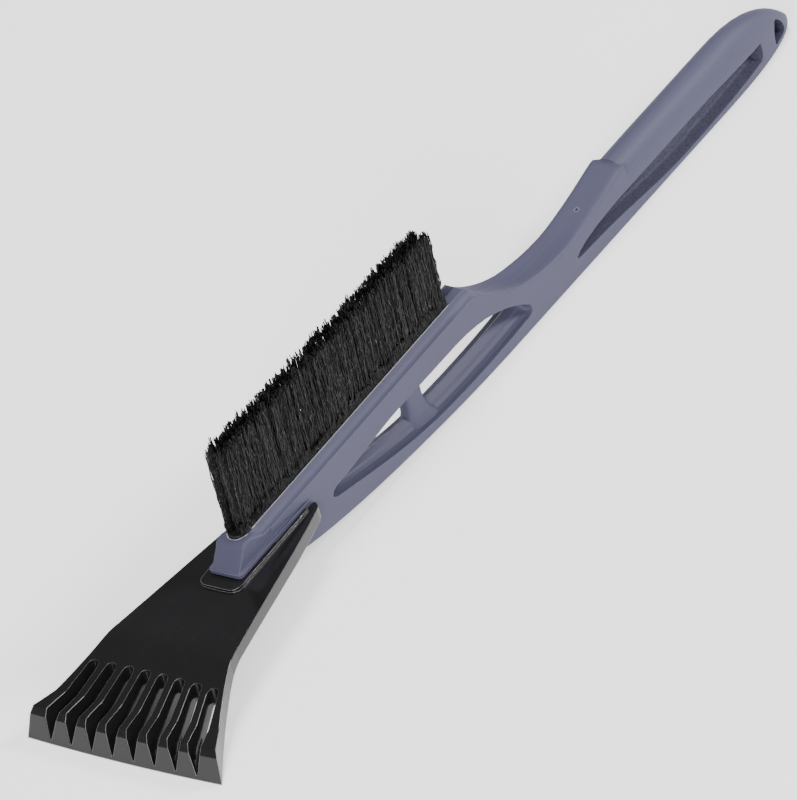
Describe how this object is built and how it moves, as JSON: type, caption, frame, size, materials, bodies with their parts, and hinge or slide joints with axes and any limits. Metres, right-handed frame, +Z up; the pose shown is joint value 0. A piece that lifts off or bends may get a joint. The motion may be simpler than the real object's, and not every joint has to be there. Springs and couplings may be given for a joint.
{
  "type": "windshield ice scraper with brush",
  "caption": "Hand tool with a wide toothed scraping blade at one end, a bristle strip on top of the handle, an open window under the strip, and a slim grip with a hanging hole.",
  "frame": {"origin": "middle of the overall length and width, on the plane that the scraping edge and the grip's underside rest on", "axes": "+X from the scraping edge to the handle end, +Z up through the bristles, Y across the blade"},
  "size_m": [0.5072, 0.1, 0.0823],
  "materials": {
    "handle_plastic": "satin grey-blue moulded plastic",
    "blade_plastic": "glossy black moulded plastic",
    "block_plastic": "satin black moulded plastic",
    "bristle": "black crimped nylon filament"
  },
  "bodies": {
    "root": {"handle": "handle_plastic", "scraper_blade": "blade_plastic", "brush_block": "block_plastic", "bristle_tuft_01": "bristle", "bristle_tuft_02": "bristle", "bristle_tuft_03": "bristle", "bristle_tuft_04": "bristle", "bristle_tuft_05": "bristle", "bristle_tuft_06": "bristle", "bristle_tuft_07": "bristle", "bristle_tuft_08": "bristle", "bristle_tuft_09": "bristle", "bristle_tuft_10": "bristle", "bristle_tuft_11": "bristle", "bristle_tuft_12": "bristle", "bristle_tuft_13": "bristle", "bristle_tuft_14": "bristle", "bristle_tuft_15": "bristle", "bristle_tuft_16": "bristle", "bristle_tuft_17": "bristle", "bristle_tuft_18": "bristle", "bristle_tuft_19": "bristle", "bristle_tuft_20": "bristle", "bristle_tuft_21": "bristle", "bristle_tuft_22": "bristle", "bristle_tuft_23": "bristle", "bristle_tuft_24": "bristle", "bristle_tuft_25": "bristle", "bristle_tuft_26": "bristle", "bristle_tuft_27": "bristle", "bristle_tuft_28": "bristle", "bristle_tuft_29": "bristle", "bristle_tuft_30": "bristle", "bristle_tuft_31": "bristle", "bristle_tuft_32": "bristle", "bristle_tuft_33": "bristle", "bristle_tuft_34": "bristle", "bristle_tuft_35": "bristle", "bristle_tuft_36": "bristle", "bristle_tuft_37": "bristle", "bristle_tuft_38": "bristle", "bristle_tuft_39": "bristle", "bristle_tuft_40": "bristle", "bristle_tuft_41": "bristle", "bristle_tuft_42": "bristle", "bristle_tuft_43": "bristle", "bristle_tuft_44": "bristle", "bristle_tuft_45": "bristle", "bristle_tuft_46": "bristle", "bristle_tuft_47": "bristle"}
  },
  "joints": []
}
